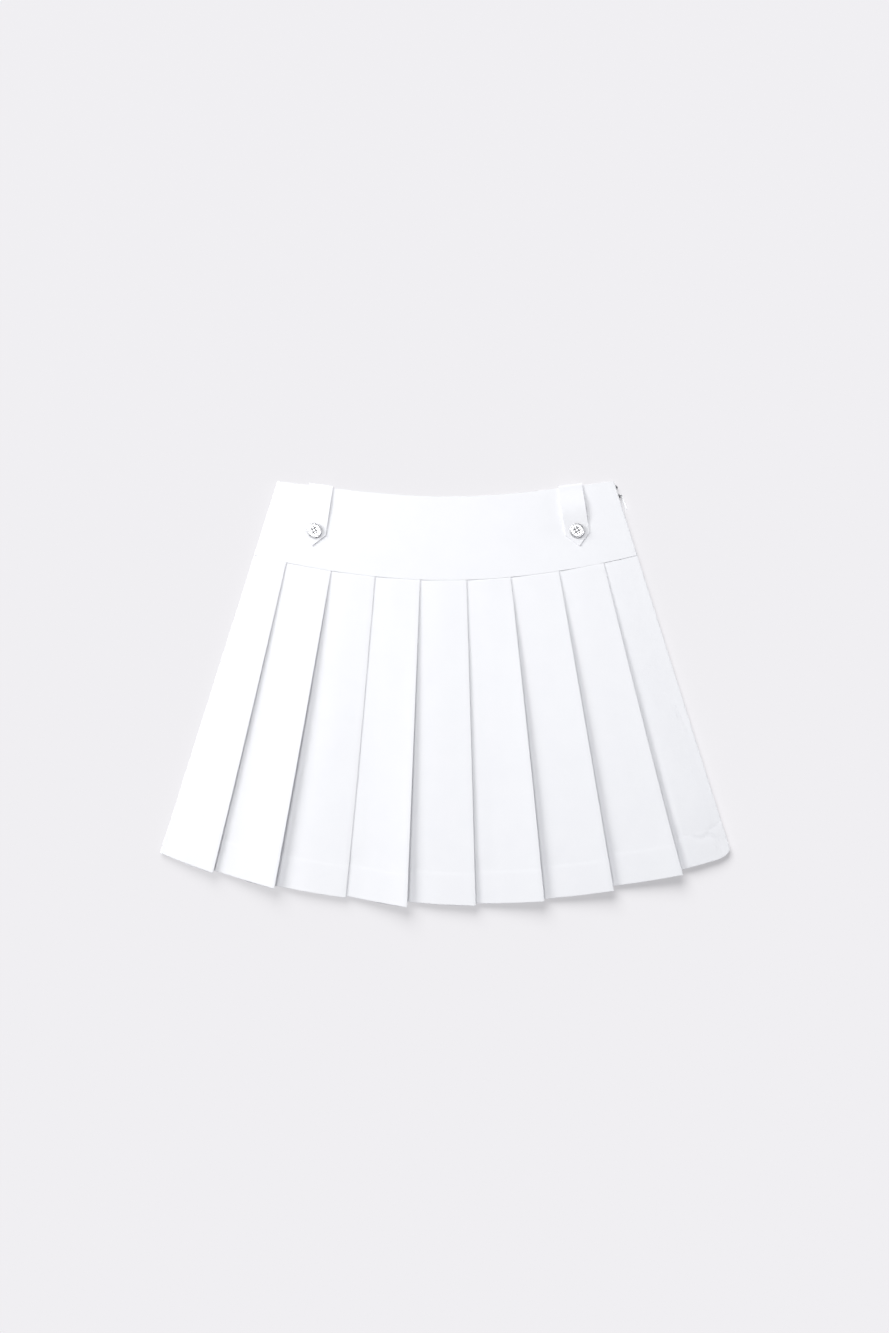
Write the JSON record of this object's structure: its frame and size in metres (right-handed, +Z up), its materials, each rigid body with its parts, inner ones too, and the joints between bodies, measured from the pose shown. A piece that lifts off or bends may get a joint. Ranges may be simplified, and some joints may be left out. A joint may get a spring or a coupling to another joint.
{
  "type": "pleated skirt laid flat",
  "caption": "Short A-line skirt laid flat: curved yoke with two buttoned loop tabs, knife-pleated front and back, side zip with hook and eye.",
  "frame": {"origin": "on the surface that the skirt lies on, under the middle of its bounding box", "axes": "+Z up, out of the front of the skirt; +Y towards the waist; +X towards the side zip, on the right of someone who looks down at the front"},
  "size_m": [0.5602, 0.4182, 0.0157],
  "materials": {
    "cotton": "matte white cotton twill",
    "silver_metal": "polished silver-tone metal",
    "dark_metal": "dark coated wire and sheet metal",
    "white_lacquer": "white lacquer",
    "zip_tape": "white woven polyester tape"
  },
  "bodies": {
    "skirt": {"front_yoke": "cotton", "back_yoke": "cotton", "front_skirt": "cotton", "back_skirt": "cotton", "tab_left": "cotton", "tab_right": "cotton", "button_left": "silver_metal", "button_right": "silver_metal", "zip_tape": "zip_tape", "zip_slider": "dark_metal", "eye": "dark_metal", "hook": "dark_metal"},
    "pull": {"zip_pull": "white_lacquer"}
  },
  "joints": [
    {"name": "pull_swing", "type": "hinge", "parent": "skirt", "child": "pull", "pos_m": [0.17304, 0.19512, 0.0031], "axis": [0, 0, 1], "range_deg": [-7, 160]}
  ]
}
